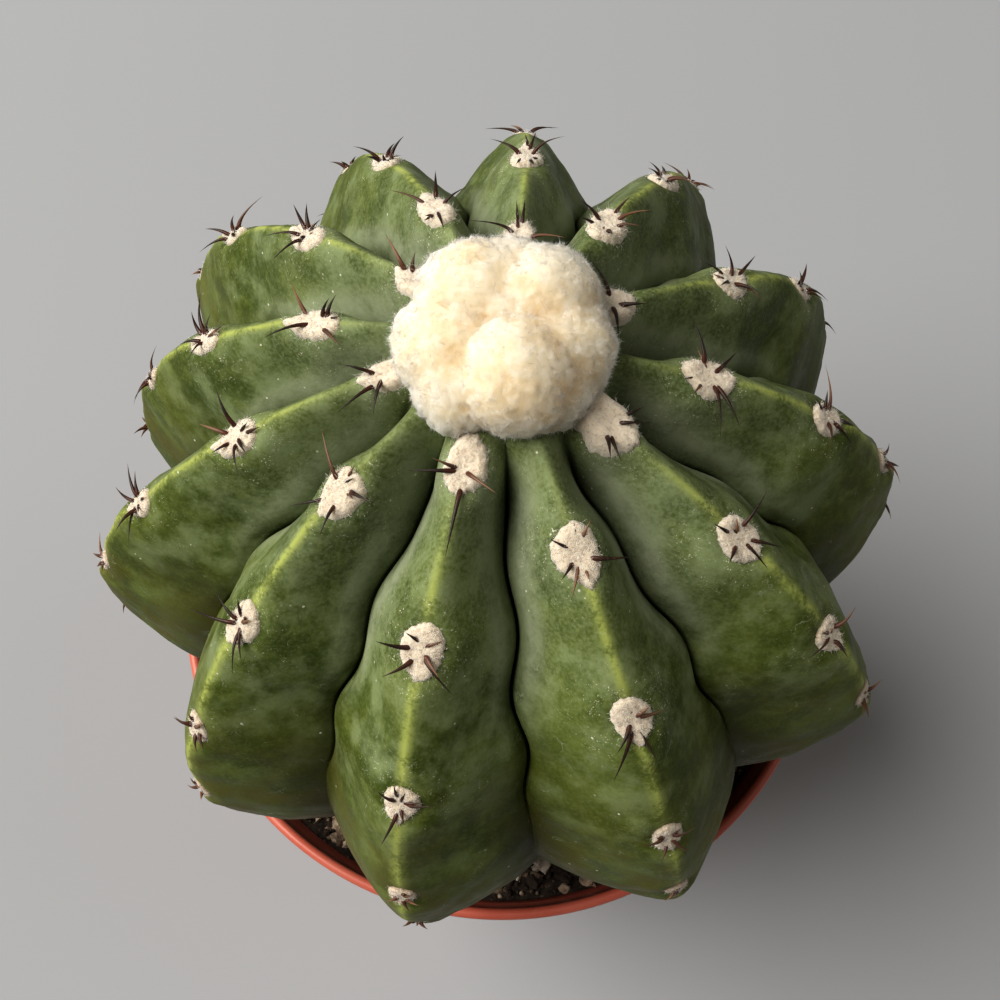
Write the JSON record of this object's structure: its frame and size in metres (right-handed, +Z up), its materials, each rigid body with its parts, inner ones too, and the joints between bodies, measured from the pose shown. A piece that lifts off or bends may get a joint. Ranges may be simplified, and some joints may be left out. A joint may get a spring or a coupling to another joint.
{
  "type": "potted melocactus inermis",
  "caption": "Globular ribbed cactus with felt areoles, short curved spines and a cream wool cap, growing in soil in a round plastic nursery pot",
  "frame": {"origin": "Centre of the pot's flat underside, on the surface that it stands on", "axes": "+Z up along the pot's axis; -Y is the side that the picture was taken from; +X is to its right"},
  "size_m": [0.1375, 0.1394, 0.2298],
  "materials": {
    "pot_plastic": "thin moulded terracotta-red plastic, satin, slightly scuffed",
    "potting_soil": "gritty dark potting mix with pale mineral grains",
    "cactus_skin": "waxy dark green skin with a soft sheen and yellow-green rib edges",
    "cap_wool": "dense matt cream wool"
  },
  "bodies": {
    "root": {"pot": "pot_plastic", "soil": "potting_soil", "cactus_body": "cactus_skin", "cephalium": "cap_wool"}
  },
  "joints": []
}
